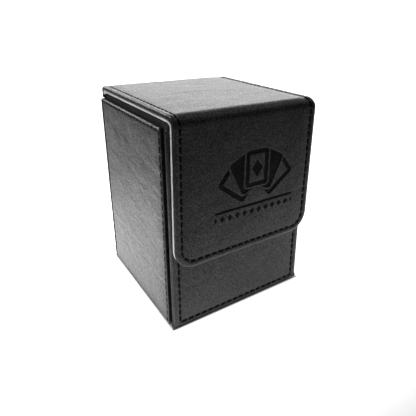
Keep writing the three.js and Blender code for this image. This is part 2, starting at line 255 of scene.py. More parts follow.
class Walk:
    """Side view of a sheet: straight stretches and left-hand quarter bends. Normals point to its right."""

    def __init__(self, y, z, heading):
        self.parts = []
        self.end = (y, z, math.radians(heading))
        self.length = 0.0

    def add(self, length, radius):
        self.parts.append((self.length, *self.end, radius))
        self.length += length
        y, z, normal_y, normal_z = (float(value) for value in self.place(self.length))
        self.end = (y, z, math.atan2(normal_y, -normal_z))

    def line(self, length):
        self.add(length, None)

    def bend(self, radius):
        self.add(radius * math.pi / 2, radius)

    def place(self, along):
        """(y, z, normal y, normal z) at lengths along the walk."""
        along = np.asarray(along, float)
        result = np.zeros((4, *along.shape))
        for start, y, z, heading, radius in self.parts:
            past = along - start
            turned = heading + (past / radius if radius else 0 * past)
            if radius:
                run_y = radius * (np.sin(turned) - math.sin(heading))
                run_z = radius * (math.cos(heading) - np.cos(turned))
            else:
                run_y, run_z = past * math.cos(heading), past * math.sin(heading)
            here = (past >= -1e-9) | (start == 0)
            values = np.stack([y + run_y, z + run_z, np.sin(turned), -np.cos(turned)])
            result = np.where(here, values, result)
        return result


# The cover, walked from the base's front edge, up the back, over the lid and down the flap.
cover = Walk(BACK_LOW[1], 0, 0)
cover.line(BACK_Y - BASE_RADIUS - BACK_LOW[1])
cover.bend(BASE_RADIUS)
BACK_FOOT = cover.length - BASE_RADIUS  # so that a height z on the back is at BACK_FOOT + z
cover.line(TOP_Z - HINGE_RADIUS - BASE_RADIUS)
HINGE_START = cover.length
cover.bend(HINGE_RADIUS)
LID_START = cover.length
cover.line(BACK_Y - HINGE_RADIUS - FLAP_Y - BEND_RADIUS)
BEND_START = cover.length
cover.bend(BEND_RADIUS)
FLAP_START = cover.length
cover.line(TOP_Z - BEND_RADIUS - FLAP_FOOT)
COVER_END = cover.length
HINGE_MIDDLE = (HINGE_START + LID_START) / 2
LID_MIDDLE = (LID_START + BEND_START) / 2
LID_SEAM_START = LID_START + BACK_Y - HINGE_RADIUS - PIVOTS["lid_crease"][1]

# The lining, walked along its inner face from the rim of the back wall to the flap's foot.
inner = Walk(BACK_Y - LINING_DEPTH, LINING_FOOT, 90)
inner.line(TOP_Z - LINING_DEPTH - INNER_HINGE_RADIUS - LINING_FOOT)
inner.bend(INNER_HINGE_RADIUS)
INNER_LID_START = inner.length
inner.line(LID_MIDDLE - LID_START + HINGE_RADIUS - LINING_DEPTH - INNER_HINGE_RADIUS)
INNER_LID_MIDDLE = inner.length
inner.line(BEND_START - LID_MIDDLE)
INNER_BEND_START = inner.length
inner.bend(BEND_RADIUS - LINING_DEPTH)
INNER_FLAP_START = inner.length
inner.line(COVER_END - FLAP_START - LINING_INSET)
INNER_END = inner.length
INNER_HINGE_MIDDLE = INNER_LID_START - INNER_HINGE_RADIUS * math.pi / 4


def settled(x, z, on_flap):
    """The flap has spread a little and hangs slightly askew."""
    return x + on_flap * (FLAP_SHIFT + FLAP_SPREAD * x + FLAP_SKEW * (z - FLAP_TURN_Z))


def lay_cover(u, v, h):
    """Places on the cover, which is narrower between the side panels and widens above their tops."""
    y, z, normal_y, normal_z = cover.place(v)
    wide = np.where(np.asarray(v) > HINGE_START, 1.0, smooth((z - SIDE_HIGH[2]) / COVER_WIDENING))
    x = u * (BACK_HALF + (STRIP_HALF - BACK_HALF) * wide) / STRIP_HALF + STRIP_MIDDLE * wide
    on_flap = smooth((np.asarray(v) - BEND_START) / (FLAP_START - BEND_START))
    h = np.where(h < 0, h * (1 - (1 - FLAP_SKIN_SHARE) * on_flap), h)
    return np.stack([settled(x, z, on_flap), y + normal_y * h, z + normal_z * h], axis=-1)


def lay_lining(u, v, h):
    """Places on the lining, whose face, at height 0, is turned to the inside of the box. It is flush with
    the leather along the left edge, and set back along the right one."""
    y, z, normal_y, normal_z = inner.place(v)
    on_flap = smooth((np.asarray(v) - INNER_BEND_START) / (INNER_FLAP_START - INNER_BEND_START))
    x = u + STRIP_MIDDLE - LINING_INSET * np.clip(-u / STRIP_HALF, 0, 1)
    outward = -h * (1 + (1 - FLAP_SKIN_SHARE) * PANEL / LINING * on_flap)
    return np.stack([settled(x, z, on_flap), y + normal_y * outward, z + normal_z * outward], axis=-1)


def flat_panel(origin, across, along, out):
    """Mapping of a flat panel, from the directions of its width, its length and its face."""
    def lay(u, v, h):
        pairs = ((u, across), (v, along), (h, out))
        places = [np.multiply.outer(value, direction) for value, direction in pairs]
        return np.array(origin, float) + sum(places)

    return lay


# ---------------------------------------------------------------- outlines

def near(edges, reach=1.1):
    """Stretches close to these edges, where a mesh needs to be fine."""
    return [(edge - reach, edge + reach) for edge in edges]


def spread(start, end, fine=(), samples=3000, fewest=6):
    """Fractions of a straight stretch, closer together inside the fine parts (low, high)."""
    x = np.linspace(start, end, samples)
    density = np.full(x.shape, 1 / STEP)
    for low, high in fine:
        density[(x >= low) & (x <= high)] = 1 / FINE
    count = np.concatenate([[0], np.cumsum(density[1:] * np.diff(x))])
    even = np.linspace(0, count[-1], max(fewest, round(count[-1])) + 1)
    return (np.interp(even, count, x) - start) / (end - start)


def half_corner(centre, radius, start, count):
    """Points over the 45 degrees from a start angle."""
    angle = np.radians(np.linspace(start, start + 45, count + 1))
    return np.stack([centre[0] + radius * np.cos(angle), centre[1] + radius * np.sin(angle)], axis=-1)


def straight(start, end, fractions, more=0):
    """Points from start to end. More points are added evenly to stand in for missing corner points."""
    count = len(fractions)
    fractions = np.interp(np.linspace(0, 1, count + more), np.linspace(0, 1, count), fractions)
    return np.array(start) + np.outer(fractions, np.array(end) - np.array(start))


LARGE_RADIUS = 3  # corners from this radius on get more points
LEAST_RADIUS = 0.2
FAR_INSIDE = -1e3  # signed distance to an edge that isn't there


class Outline:
    """Rounded rectangle (u0, u1, v0, v1), followed at any inset. A cut end is straight and has no rim,
    because another sheet goes on from it."""

    def __init__(self, area, low_radius, high_radius, cut_low=False, cut_high=False, fine_u=(), fine_v=()):
        self.area = area
        self.radii = (low_radius, high_radius)
        self.cut = (cut_low, cut_high)
        self.arc_count = 12 if max(self.radii) >= LARGE_RADIUS else 3
        self.fractions = (spread(area[0], area[1], fine_u), spread(area[2], area[3], fine_v))

    def sides(self, inset):
        """Low, right, high and left sides as points, each running anticlockwise."""
        u0, u1, v0, v1 = self.area
        radii = [max(radius - inset, LEAST_RADIUS) for radius in self.radii]
        low, high = (0 if cut else radius for radius, cut in zip(radii, self.cut))
        u0, u1 = u0 + inset, u1 - inset
        v0, v1 = v0 + inset * (not self.cut[0]), v1 - inset * (not self.cut[1])
        centres = [(u0 + low, v0 + low), (u1 - low, v0 + low), (u1 - high, v1 - high), (u0 + high, v1 - high)]
        radii = [low, low, high, high]
        sides = []
        for index in range(4):
            after = (index + 1) % 4
            angle = math.radians(270 + 90 * index)
            out = np.array([math.cos(angle), math.sin(angle)]).round(9)
            start = np.array(centres[index]) + radii[index] * out
            end = np.array(centres[after]) + radii[after] * out
            fractions = self.fractions[index % 2]
            if index > 1:
                fractions = 1 - fractions[::-1]
            missing = self.arc_count * ((radii[index] == 0) + (radii[after] == 0))
            parts = [straight(start, end, fractions, missing)]
            if radii[index]:
                start_arc = half_corner(centres[index], radii[index], 225 + 90 * index, self.arc_count)
                parts.insert(0, start_arc[:-1])
            if radii[after]:
                end_arc = half_corner(centres[after], radii[after], 270 + 90 * index, self.arc_count)
                parts.append(end_arc[1:])
            sides.append(np.concatenate(parts))
        return sides

    def depth(self, u, v):
        """How far points lie in from the rim."""
        u0, u1, v0, v1 = self.area
        out_u = np.abs(u - (u0 + u1) / 2) - (u1 - u0) / 2
        below = v0 - v if not self.cut[0] else np.full(u.shape, FAR_INSIDE)
        above = v - v1 if not self.cut[1] else np.full(u.shape, FAR_INSIDE)
        radius = np.where(below > above, *self.radii)
        a, b = out_u + radius, np.maximum(below, above) + radius
        return radius - np.hypot(np.maximum(a, 0), np.maximum(b, 0)) - np.minimum(np.maximum(a, b), 0)


def stretched(sides):
    """Grid of points stretched between four sides."""
    low, right, high, left = sides[0], sides[1], sides[2][::-1], sides[3][::-1]
    s = np.linspace(0, 1, len(low))[None, :, None]
    t = np.linspace(0, 1, len(left))[:, None, None]
    ruled = (1 - t) * low[None] + t * high[None] + (1 - s) * left[:, None] + s * right[:, None]
    return ruled - (1 - t) * ((1 - s) * low[0] + s * low[-1]) - t * ((1 - s) * high[0] + s * high[-1])


class Seam:
    """Stitches that follow an outline at an inset, in one or more runs of consecutive sides."""

    def __init__(self, outline, inset=0.0, runs=((0, 1, 2, 3),)):
        self.outline = outline
        self.inset = inset
        sides = outline.sides(inset)
        self.runs = [self.measured(np.concatenate([sides[side] for side in run])) for run in runs]

    def measured(self, points):
        """A run as its points, the lengths along them, the number of stitches and their pitch."""
        steps = np.linalg.norm(np.diff(points, axis=0), axis=1)
        keep = steps > 1e-6
        points = points[np.concatenate([[True], keep])]
        along = np.concatenate([[0], np.cumsum(steps[keep])])
        count = round(along[-1] / PITCH)
        return points, along, count, along[-1] / count

    def at(self, run, distance):
        points, along = run[:2]
        return np.stack([np.interp(distance, along, points[:, i]) for i in (0, 1)], axis=-1)

    def groove(self, u, v):
        """Depth the thread presses into the sheet. The leather rises in the gaps between stitches."""
        away = self.outline.depth(u, v) - self.inset
        depth = GROOVE * np.exp(-(away / GROOVE_SPREAD) ** 2)
        fade = 0.6  # length over which the groove runs out at a cut end
        v0, v1 = self.outline.area[2:]
        if self.outline.cut[0]:
            depth *= smooth((v - v0) / fade + 0.5)
        if self.outline.cut[1]:
            depth *= smooth((v1 - v) / fade + 0.5)
        beside = np.abs(away) < 1.2
        gaps = np.concatenate([self.at(run, np.arange(run[2] + 1) * run[3]) for run in self.runs])
        points = np.stack([u[beside], v[beside]], axis=-1)
        apart = np.linalg.norm(points[:, None] - gaps[None], axis=-1).min(axis=1)
        depth[beside] *= 1 - GAP_RISE * np.exp(-(apart / GAP_SPREAD) ** 2)
        return depth


# ---------------------------------------------------------------- meshes

JOINED_WITHIN = 2e-7  # points this close, in metres, are one point


def make_object(name, points, faces, flat, values=None, sharp=38):
    """Closed smooth mesh in the scene: coinciding points are joined and cut ends are capped. Edges that
    turn by more than the sharp angle, in degrees, stay sharp."""
    mesh = bpy.data.meshes.new(name)
    mesh.from_pydata((points * MM).tolist(), [], faces)
    flat_attribute = mesh.attributes.new("flat", "FLOAT_VECTOR", "POINT")
    flat_attribute.data.foreach_set("vector", flat.astype(np.float32).ravel())
    for attribute, column in (values or {}).items():
        data = mesh.attributes.new(attribute, "FLOAT", "POINT").data
        data.foreach_set("value", column.astype(np.float32))
    bm = bmesh.new()
    bm.from_mesh(mesh)
    bmesh.ops.remove_doubles(bm, verts=bm.verts, dist=JOINED_WITHIN)
    open_edges = [edge for edge in bm.edges if edge.is_boundary]
    if open_edges:
        bmesh.ops.holes_fill(bm, edges=open_edges, sides=0)
    bmesh.ops.recalc_face_normals(bm, faces=bm.faces)
    bm.to_mesh(mesh)
    bm.free()
    mesh.shade_smooth()
    mesh.set_sharp_from_angle(angle=math.radians(sharp))
    made = bpy.data.objects.new(name, mesh)
    bpy.context.scene.collection.objects.link(made)
    return made


def mesh_from_grids(name, grids, lay, sharp=38):
    """One mesh from grids whose points are (u, v, height, distance from the rim, share of a debossed mark and of
    painted shade in a seam groove).
    """
    faces, offset = [], 0
    for grid in grids:
        rows, columns = grid.shape[:2]
        index = offset + np.arange(rows * columns).reshape(rows, columns)
        corners = [index[:-1, :-1], index[:-1, 1:], index[1:, 1:], index[1:, :-1]]
        faces += np.stack(corners, axis=-1).reshape(-1, 4).tolist()
        offset += rows * columns
    flat = np.concatenate([grid.reshape(-1, 5) for grid in grids])
    points = lay(flat[:, 0], flat[:, 1], flat[:, 2])
    return make_object(name, points, faces, flat[:, :3], {"edge": flat[:, 3], "pressed": flat[:, 4]}, sharp)


def sheet(name, outline, rings, lay, relief):
    """Closed sheet. Rings are (inset, height, is face) from the back face, round the rim, to the front
    face. Relief gives the extra height of the front face, and the share of a debossed mark and of painted shade in a
    seam groove."""
    def points_at(flat, height, is_face):
        u, v = flat[..., 0], flat[..., 1]
        depth = outline.depth(u, v)
        more, pressed = relief(u, v, depth) if is_face else (0.0, 0.0)
        zero = np.zeros(u.shape)
        return np.stack([u, v, height + more + zero, depth, pressed + zero], axis=-1)

    sides = [outline.sides(ring[0]) for ring in rings]
    grids = [points_at(stretched(sides[0]), *rings[0][1:]), points_at(stretched(sides[-1]), *rings[-1][1:])]
    for side in range(4):
        if side % 2 == 0 and outline.cut[side // 2]:
            continue
        rows = [points_at(ring_sides[side], *ring[1:]) for ring_sides, ring in zip(sides, rings)]
        grids.append(np.stack(rows))
    return mesh_from_grids(name, grids, lay)


def quarter(radius, height, count):
    """(inset, height) points of a rim that turns from the side onto a face at that height."""
    angles = np.linspace(0, math.pi / 2, count + 1)
    return [(radius * (1 - math.cos(a)), height - radius * (1 - math.sin(a))) for a in angles]


def leather_rings(seam, turn=0.62):
    """Cover folded round its board: pocket for the board, folded rim, border, seam and field."""
    pocket = SKIN + 0.02
    rim = [
        (pocket, -pocket), (pocket, -PANEL + 0.06), (SKIN - 0.06, -PANEL),
        (0.3, -PANEL), (0.09, -PANEL + 0.09), (0, -PANEL + 0.3),
    ] + quarter(turn, 0, 6)[:-1]
    beside_seam = (0.07, 0.2, 0.36, 0.55, 0.8, 1.1, 1.6)
    steps = [-step for step in beside_seam[::-1]] + list(beside_seam)
    field = [turn] + [seam + step for step in steps if seam + step > turn + 0.2]
    return [(*point, False) for point in rim] + [(inset, 0.0, True) for inset in field]


def padding_rings(thickness, roundness=0.35):
    """Soft padded sheet of one thickness, with its front face at height 0."""
    radius = roundness * thickness
    back = -thickness
    rim = [(0.3, back), (0.08, back + 0.05), (0, back + 0.2)] + quarter(radius, 0, 5)[:-1]
    field = [radius + step for step in (0, 0.25, 0.6, 1.2, 2.2)]
    return [(*point, False) for point in rim] + [(inset, 0.0, True) for inset in field]


def lay_upright(u, v, h):
    """Places on the upright walls, where the height is simply z."""
    return np.stack([u, v, h], axis=-1)


def band(name, low, high, corner, section):
    """Closed loop of slightly wavy cloth round the upright walls. Section is a closed list of (inset, z)
    points."""
    outline = Outline((low[0], high[0], low[1], high[1]), corner, corner)
    rows = []
    for inset, z in section + section[:1]:
        sides = outline.sides(inset)
        x, y = np.concatenate([side[:-1] for side in sides] + [sides[0][:1]]).T
        slack = 0.05 * np.sin(0.31 * (x + y) + z) * np.sin(0.23 * (x - y))
        zero = 0 * slack
        rows.append(np.stack([x, y, z + slack, zero + inset, zero], axis=-1))
    return mesh_from_grids(name, [np.stack(rows)], lay_upright, sharp=60)


def tube_faces(stations, sides):
    """Faces of a tube of rings: its walls and its two ends."""
    ring = np.arange(sides)
    following = np.roll(ring, -1)
    walls = []
    for low in np.arange(stations - 1) * sides:
        high = low + sides
        walls.append(np.stack([low + ring, low + following, high + following, high + ring], axis=-1))
    ends = np.stack([ring[::-1], (stations - 1) * sides + ring])
    return np.concatenate(walls), ends


def stitches(name, seam, lay, seed):
    """Separate stitches along a seam, as one mesh. Each dips into the sheet at both ends."""
    random = np.random.default_rng(seed)
    stations, sides = (7, 6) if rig.quick() else (11, 10)
    t = np.linspace(0, 1, stations)
    plump = np.sqrt(np.clip(1 - np.abs(2 * t - 1) ** 5, 0.05, 1))
    rise = 0.4 * np.sin(math.pi * t) ** 0.3 - 0.48
    flatness = 0.8  # a stitch is flatter than it is wide
    angle = np.linspace(0, 2 * math.pi, sides, endpoint=False)
    walls, ends = tube_faces(stations, sides)
    points, flat, faces, offset = [], [], [], 0
    for run in seam.runs:
        count, pitch = run[2:]
        starts = np.arange(count) * pitch + GAP / 2
        along = starts[:, None] + t * (pitch - GAP)
        centre = seam.at(run, along)
        tangent = np.gradient(centre, axis=1)
        tangent /= np.linalg.norm(tangent, axis=-1, keepdims=True)
        across = np.stack([-tangent[..., 1], tangent[..., 0]], axis=-1)
        slant = random.normal(0.09, 0.04, (count, 1)) * (2 * t - 1)
        slant = slant + random.normal(0, 0.03, (count, 1))
        centre = centre + across * slant[..., None]
        half = STITCH_WIDTH / 2 * plump * random.normal(1, 0.05, (count, 1))
        lift = rise + random.normal(0, 0.02, (count, 1))
        sideways = half[..., None] * np.cos(angle)
        place = centre[:, :, None] + across[:, :, None] * sideways[..., None]
        height = lift[..., None] + flatness * half[..., None] * np.sin(angle)
        points.append(lay(place[..., 0].ravel(), place[..., 1].ravel(), height.ravel()))
        length = np.broadcast_to(along[..., None], height.shape)
        turn = np.broadcast_to(angle / (2 * math.pi), height.shape)
        flat.append(np.stack([length, turn, 0 * turn], axis=-1).reshape(-1, 3))
        bases = offset + np.arange(count)[:, None, None] * stations * sides
        faces += (walls[None] + bases).reshape(-1, 4).tolist()
        faces += (ends[None] + bases).reshape(-1, sides).tolist()
        offset += count * stations * sides
    return make_object(name, np.concatenate(points), faces, np.concatenate(flat), sharp=70)


# ---------------------------------------------------------------- materials

class Nodes:
    """A node tree, built with short calls."""

    def __init__(self, tree):
        self.tree = tree

    def node(self, kind, inputs=None, **settings):
        made = self.tree.nodes.new("ShaderNode" + kind)
        for key, value in settings.items():
            setattr(made, key, value)
        for key, value in (inputs or {}).items():
            self.feed(made.inputs[key], value)
        return made

    def feed(self, socket, value):
        if isinstance(value, bpy.types.NodeSocket):
            self.tree.links.new(value, socket)
        else:
            socket.default_value = value

    def turned(self, vector, degrees, scale):
        made = self.node("Mapping", {"Vector": vector, "Scale": scale})
        made.inputs["Rotation"].default_value = (0, 0, math.radians(degrees))
        return made.outputs["Vector"]

    def noise(self, vector, scale, detail=2.0, roughness=0.5, distortion=0.0):
        settings = {"Vector": vector, "Scale": scale, "Detail": detail, "Roughness": roughness}
        return self.node("TexNoise", {**settings, "Distortion": distortion}).outputs["Fac"]

    def pebbles(self, vector, scale):
        cells = self.node("TexVoronoi", {"Vector": vector, "Scale": scale}, feature="SMOOTH_F1")
        return cells.outputs["Distance"]

    def math(self, operation, a, b=0.0):
        made = self.node("Math", operation=operation)
        self.feed(made.inputs[0], a)
        self.feed(made.inputs[1], b)
        return made.outputs[0]

    def ramp(self, value, low, high, to_low=0.0, to_high=1.0):
        inputs = {"Value": value, "From Min": low, "From Max": high, "To Min": to_low, "To Max": to_high}
        return self.node("MapRange", inputs, interpolation_type="SMOOTHSTEP").outputs["Result"]

    def mix(self, share, a, b):
        made = self.node("Mix", data_type="RGBA")
        for index, value in ((0, share), (6, a), (7, b)):
            self.feed(made.inputs[index], value)
        return made.outputs[2]

    def bump(self, height, depth_mm, under=None):
        inputs = {"Height": height, "Distance": depth_mm * MM, "Strength": 1.0}
        if under:
            inputs["Normal"] = under
        return self.node("Bump", inputs).outputs["Normal"]


class Look(Nodes):
    """A surface material."""

    def __init__(self, name):
        self.material = bpy.data.materials.new(name)
        self.material.use_nodes = True
        super().__init__(self.material.node_tree)
        self.surface = self.tree.nodes["Principled BSDF"]

    def set(self, **inputs):
        for key, value in inputs.items():
            self.feed(self.surface.inputs[key.replace("_", " ")], value)

    def attribute(self, name):
        return self.node("Attribute", attribute_name=name)

    def flat(self):
        return self.attribute("flat").outputs["Vector"]

    def in_millimetres(self):
        place = self.node("TexCoord").outputs["Object"]
        return self.node("VectorMath", {0: place, "Scale": 1 / MM}, operation="SCALE").outputs["Vector"]


def grey(value):
    return (value, value, value, 1.0)


def leatherette(name, creases=0.4, fold_shine=0.05):
    """Satin black leatherette: fine grain, soft creases, paler rubbed rims, dark smooth debossed marks, and painted
    shade that darkens the seam grooves.
    The creases are given by their depth in millimetres."""
    look = Look(name)
    flat = look.flat()
    rim = look.attribute("edge").outputs["Fac"]
    pressed = look.attribute("pressed").outputs["Fac"]
    grain = look.noise(flat, 1.5, 4.0, 0.65)
    pebbles = look.pebbles(flat, 1.3)
    clouds = look.noise(flat, 0.06, 4.0, 0.6)
    crease_turn = 35
    slack = look.noise(look.turned(flat, crease_turn, (0.05, 0.12, 0.1)), 1.0, 3.0, 0.55, 0.6)
    folds = look.noise(look.turned(flat, crease_turn, (0.03, 0.1, 0.1)), 1.0, 3.0, 0.55, 1.0)
    folds = look.math("ABSOLUTE", look.math("SUBTRACT", folds, 0.5))
    folds = look.ramp(folds, 0.0, 0.035, 1.0, 0.0)
    folds = look.math("MULTIPLY", folds, look.ramp(look.noise(flat, 0.06, 2.0), 0.48, 0.66))
    face = look.ramp(rim, 0.02, 0.15)  # 0 on the sides, which are darker and matt
    rubbed = look.math("MULTIPLY", look.ramp(rim, 0.1, 0.9, 1.0, 0.0), look.ramp(clouds, 0.3, 0.7))
    rubbed = look.math("MULTIPLY", rubbed, face)
    speckle = look.ramp(look.noise(flat, 2.3, 2.0, 0.7), 0.34, 0.66)
    tone = look.mix(look.ramp(clouds, 0.35, 0.65), grey(0.003), grey(0.011))
    tone = look.mix(look.math("MULTIPLY", speckle, 0.6), tone, grey(0.036))
    tone = look.mix(look.math("MULTIPLY", rubbed, 0.6), tone, grey(0.07))
    # Debossed marks are darker and smoother; in the seam grooves this darkening is painted shade.
    tone = look.mix(look.math("MULTIPLY", pressed, 0.9), tone, grey(0.002))
    roughness = look.ramp(grain, 0.3, 0.7, 0.36, 0.54)
    fold = look.ramp(rim, 0.3, 0.8, 1.0, 0.0)
    roughness = look.math("SUBTRACT", roughness, look.math("MULTIPLY", fold, 0.12))
    keep_grain = look.ramp(pressed, 0.2, 0.9, 1.0, 0.15)
    fine = look.math("MULTIPLY", look.math("ADD", grain, look.math("MULTIPLY", pebbles, 0.4)), keep_grain)
    normal = look.bump(slack, creases)
    normal = look.bump(look.math("MULTIPLY", folds, -1.0), creases * 0.12, normal)
    normal = look.bump(fine, 0.1, normal)
    look.set(Base_Color=tone, Roughness=roughness, Normal=normal)
    shine = look.ramp(speckle, 0.0, 1.0, 0.14, 0.53)
    shine = look.math("ADD", shine, look.math("MULTIPLY", fold, fold_shine))
    shine = look.math("MULTIPLY", shine, look.ramp(face, 0.0, 1.0, 0.08, 1.0))
    # Lower shine in debossed marks, and as painted shade in the seam grooves.
    look.set(Specular_IOR_Level=look.math("MULTIPLY", shine, look.ramp(pressed, 0.2, 0.9, 1.0, 0.2)))
    return look.material


def microfibre(name):
    """Pale grey brushed lining: soft nap with brushed patches and a fine fibre relief."""
    look = Look(name)
    flat = look.flat()
    nap = look.noise(flat, 3.2, 4.0, 0.7)
    brushed = look.noise(look.turned(flat, 20, (0.06, 0.16, 1)), 1.0, 3.0, 0.6, 0.5)
    tone = look.mix(look.ramp(brushed, 0.35, 0.65), grey(0.68), grey(0.78))
    tone = look.mix(look.ramp(nap, 0.3, 0.7), tone, grey(0.86))
    look.set(Base_Color=tone, Roughness=0.95, Sheen_Weight=0.6, Sheen_Roughness=0.4)
    look.set(Normal=look.bump(nap, 0.12, look.bump(brushed, 0.15)))
    return look.material


def wrap_cloth(name):
    """Dark woven cloth over the walls' boards."""
    look = Look(name)
    flat = look.flat()
    weave = look.node("TexChecker", {"Vector": look.turned(flat, 45, (2.6, 2.6, 2.6)), "Scale": 1.0})
    fibres = look.noise(flat, 3.0, 4.0, 0.65)
    tone = look.mix(look.ramp(fibres, 0.3, 0.7), grey(0.02), grey(0.075))
    height = look.math("ADD", look.math("MULTIPLY", weave.outputs["Fac"], 0.4), fibres)
    look.set(Base_Color=tone, Roughness=look.ramp(fibres, 0.3, 0.7, 0.62, 0.8))
    look.set(Normal=look.bump(height, 0.05), Sheen_Weight=0.05, Specular_IOR_Level=0.2)
    return look.material


def sewing_thread(name):
    """Black bonded thread with a slight twist."""
    look = Look(name)
    flat = look.node("SeparateXYZ", {"Vector": look.flat()})
    twist = look.math("ADD", look.math("MULTIPLY", flat.outputs[0], 1.6), flat.outputs[1])
    ply = look.math("SINE", look.math("MULTIPLY", twist, 2 * math.pi))
    fuzz = look.noise(look.flat(), 5.0, 2.0)
    tone = look.mix(look.ramp(fuzz, 0.3, 0.7), grey(0.002), grey(0.006))
    look.set(Base_Color=tone, Roughness=look.ramp(fuzz, 0.3, 0.7, 0.5, 0.65))
    look.set(Normal=look.bump(ply, 0.012), Specular_IOR_Level=0.04)
    return look.material


def greyboard(name):
    """Grey recycled board: mottled, with short fibres."""
    look = Look(name)
    place = look.in_millimetres()
    fibres = look.noise(place, 1.8, 4.0, 0.7)
    mottle = look.noise(place, 0.12, 2.0)
    tone = look.mix(look.ramp(mottle, 0.35, 0.65), grey(0.2), grey(0.28))
    look.set(Base_Color=tone, Roughness=look.ramp(fibres, 0.3, 0.7, 0.8, 0.95))
    look.set(Normal=look.bump(fibres, 0.08))
    return look.material


def magnet_plating(name):
    """Nickel plated disc with faint turning marks and scuffs."""
    look = Look(name)
    place = look.in_millimetres()
    scuffs = look.noise(look.turned(place, 30, (0.3, 2.5, 1)), 1.0, 3.0)
    stains = look.noise(place, 0.5, 2.0)
    look.set(Base_Color=look.mix(stains, grey(0.42), grey(0.6)), Metallic=1.0)
    look.set(Roughness=look.ramp(scuffs, 0.3, 0.7, 0.2, 0.4), Normal=look.bump(scuffs, 0.01))
    return look.material


LOOKS = {
    "leatherette": leatherette("leatherette"),
    "side_leatherette": leatherette("side_leatherette", creases=0.7, fold_shine=0.12),
    "wrap_cloth": wrap_cloth("wrap_cloth"),
    "microfibre": microfibre("microfibre"),
    "greyboard": greyboard("greyboard"),
    "thread": sewing_thread("thread"),
    "magnet": magnet_plating("magnet"),
}


def dress(made, look, slot=None):
    """Gives a piece its look, and the CAD material slot that the look stands for."""
    made.data.materials.clear()
    made.data.materials.append(LOOKS[look])
    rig.slot(made, slot or look)
    return made


# ---------------------------------------------------------------- relief of the leather

def softness(u, v, seed):
    """Slow unevenness of a covered board, about a tenth of a millimetre."""
    random = np.random.default_rng(seed)
    total = np.zeros(np.shape(u))
    for size in (38.0, 26.0, 17.0, 11.0):
        turn, shift = random.uniform(0, 2 * math.pi, 2)
        along = u * math.cos(turn) + v * math.sin(turn)
        total = total + np.sin(along * 2 * math.pi / size + shift) * size
    return 0.0009 * total


def padding_relief(seed, strength, rim):
    """Unevenness of a padded sheet, which is even at its rim."""
    def relief(u, v, depth):
        return strength * softness(u, v, seed) * smooth(depth / rim), 0.0

    return relief


def leather_relief(seam, seed, motif=None, bulge=BORDER_BULGE):
    """Soft border between rim and seam, the seam's groove, and a slightly puffed field."""
    def relief(u, v, depth):
        inside = seam.outline.depth(u, v) - seam.inset
        border = bulge * np.sin(math.pi * np.clip(depth / np.maximum(depth - inside, 0.01), 0, 1))
        puff = FIELD_PUFF * smooth(inside / 5) * smooth(depth / 3)
        groove = seam.groove(u, v)
        more = border + puff + softness(u, v, seed) * smooth(depth / 2) - groove
        # In the seam's groove this share is painted shade that darkens the leather; in the motif it is the debossed
        # mark.
        pressed = smooth(groove / GROOVE)
        if motif:
            mark = motif(u, v)
            more = more - MOTIF_DEPTH * mark
            pressed = np.maximum(pressed, mark)
        return more, pressed

    return relief


def rounded_box(x, y, half_width, half_height, radius):
    """Signed distance to a rounded rectangle."""
    a, b = np.abs(x) - half_width + radius, np.abs(y) - half_height + radius
    return np.hypot(np.maximum(a, 0), np.maximum(b, 0)) + np.minimum(np.maximum(a, b), 0) - radius


def lozenge(x, z, steepness, half_thickness):
    """Signed distance to a lozenge, from the slope of its sides. It is off by less than a 500th."""
    return (np.abs(x) * steepness + np.abs(z)) / round(math.hypot(steepness, 1), 2) - half_thickness


MOTIF_X = 4.3  # middle of the motif on the flap
MOTIF_Z = 65.5
MOTIF_HALF = (24.0, 17.0)
RULE_HALF = 22.0


def card_fan(x, z):
    """Signed distance to a fan of cards, a rule and a row of lozenges. It is a pattern, not a mark."""
    stroke, gap = 1.05, 0.9
    half_width, half_height, corner = 6.2, 8.6, 1.8
    fan_radius = 13.2  # from the point that the cards fan out from to their middles
    up = z + 6.5  # height above that point
    shape = np.full(np.shape(x), -FAR_INSIDE)
    for turn, filled in ((52, False), (-52, False), (26, True), (-26, True), (0, False)):
        angle = math.radians(turn)
        across = x * math.cos(angle) + up * math.sin(angle)
        along = up * math.cos(angle) - x * math.sin(angle)
        card = rounded_box(across, along - fan_radius, half_width, half_height, corner)
        shape = np.maximum(shape, gap - card)
        shape = np.minimum(shape, card if filled else np.abs(card + stroke) - stroke)
    rule = rounded_box(x, z + 10.6, RULE_HALF, 0.45, 0.3)
    row = lozenge((x + 100) % 4.0 - 2.0, z + 13.8, 1.2, 1.05)
    row = np.maximum(row, np.abs(x) - RULE_HALF)
    return np.minimum.reduce([shape, lozenge(x, z - 6.7, 1.4, 2.4), rule, row])


def pressed_motif(u, v):
    """1 where the motif is debossed into the flap and 0 around it."""
    x = u + STRIP_MIDDLE - MOTIF_X
    z = TOP_Z - BEND_RADIUS - (v - FLAP_START) - MOTIF_Z
    soft_edge = 0.3
    return 1 - smooth(card_fan(x, z) / soft_edge + 0.5)


# ---------------------------------------------------------------- covered panels of the box

def covered_panel(part, lay, area, seam_area, seed, look="leatherette", open_foot=False, bulge=BORDER_BULGE):
    """A flat panel of the box: leather cover and its stitches. A seam with an open foot runs out at the
    panel's lower edge."""
    fine_u, fine_v = near(seam_area[:2]), near(seam_area[2:])
    outline = Outline(area, PANEL_CORNER, PANEL_CORNER, fine_u=fine_u, fine_v=fine_v)
    seam_outline = Outline(seam_area, SEAM_CORNER, SEAM_CORNER, cut_low=open_foot)
    seam = Seam(seam_outline, runs=((1, 2, 3),)) if open_foot else Seam(seam_outline)
    rings = leather_rings(SIDE_SEAM, 0.5)
    skin = sheet(part + "_cover", outline, rings, lay, leather_relief(seam, seed, bulge=bulge))
    dress(skin, look, "leatherette")
    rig.replaces(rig.ride(skin, "box"), part + "_leather")
    sewn = dress(stitches(part + "_stitches", seam, lay, seed), "thread")
    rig.replaces(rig.ride(sewn, "box"), part + "_thread")


